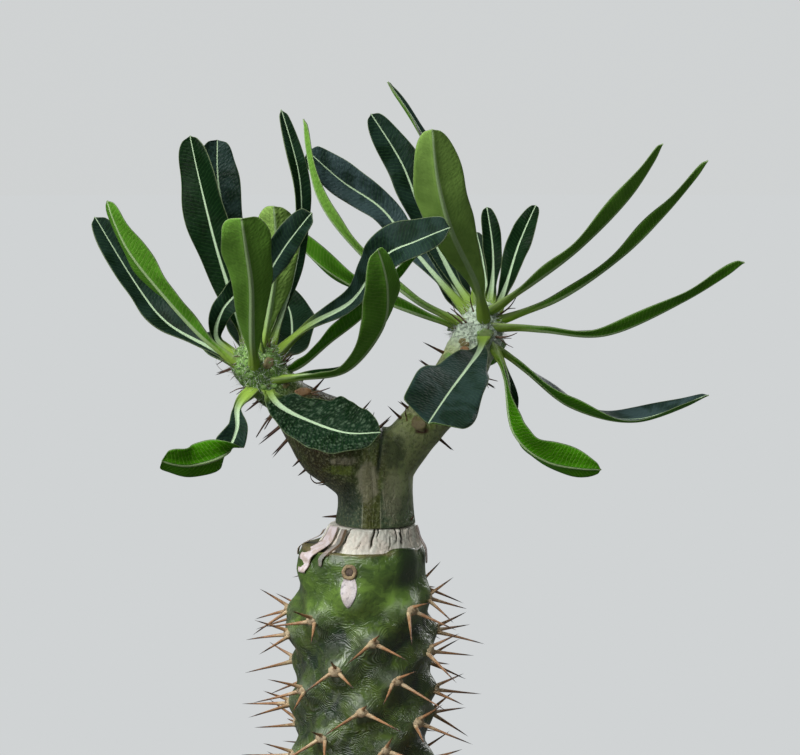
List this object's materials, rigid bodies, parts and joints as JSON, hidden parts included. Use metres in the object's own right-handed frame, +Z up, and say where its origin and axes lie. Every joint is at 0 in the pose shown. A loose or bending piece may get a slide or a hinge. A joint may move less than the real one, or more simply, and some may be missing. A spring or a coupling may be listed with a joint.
{
  "type": "potted pachypodium",
  "caption": "Grafted Pachypodium rosulatum: a forked, thorny stem with two heads of narrow leaves on a tubercled, thorny rootstock, standing in soil in a plain tapered clay pot.",
  "frame": {"origin": "the middle of the pot's flat underside, where it rests", "axes": "+Z up along the plant's height, -Y towards the plant's front as pictured, +X towards the higher right-hand head of leaves"},
  "size_m": [0.2348, 0.1491, 0.3692],
  "materials": {
    "clay": "matte unglazed terracotta",
    "soil": "rough gritty potting mix",
    "rootstock_skin": "waxy green skin, wrinkled, with woody thorns",
    "cork": "dry cracked cork",
    "scion_skin": "smooth grey-green bark with dark thorns",
    "leaf": "leathery, slightly glossy, pale midrib"
  },
  "bodies": {
    "root": {"pot": "clay", "soil": "soil", "rootstock": "rootstock_skin", "graft_callus": "cork", "scion_stem": "scion_skin", "leaf_left_01": "leaf", "leaf_left_02": "leaf", "leaf_left_03": "leaf", "leaf_left_04": "leaf", "leaf_left_05": "leaf", "leaf_left_06": "leaf", "leaf_left_07": "leaf", "leaf_left_08": "leaf", "leaf_left_09": "leaf", "leaf_left_10": "leaf", "leaf_left_11": "leaf", "leaf_left_12": "leaf", "leaf_left_13": "leaf", "leaf_left_14": "leaf", "leaf_left_15": "leaf", "leaf_left_16": "leaf", "leaf_left_17": "leaf", "leaf_left_18": "leaf", "leaf_right_01": "leaf", "leaf_right_02": "leaf", "leaf_right_03": "leaf", "leaf_right_04": "leaf", "leaf_right_05": "leaf", "leaf_right_06": "leaf", "leaf_right_07": "leaf", "leaf_right_08": "leaf", "leaf_right_09": "leaf", "leaf_right_10": "leaf", "leaf_right_11": "leaf", "leaf_right_12": "leaf", "leaf_right_13": "leaf", "leaf_right_14": "leaf", "leaf_right_15": "leaf", "leaf_right_16": "leaf", "leaf_right_17": "leaf", "leaf_right_18": "leaf"}
  },
  "joints": []
}
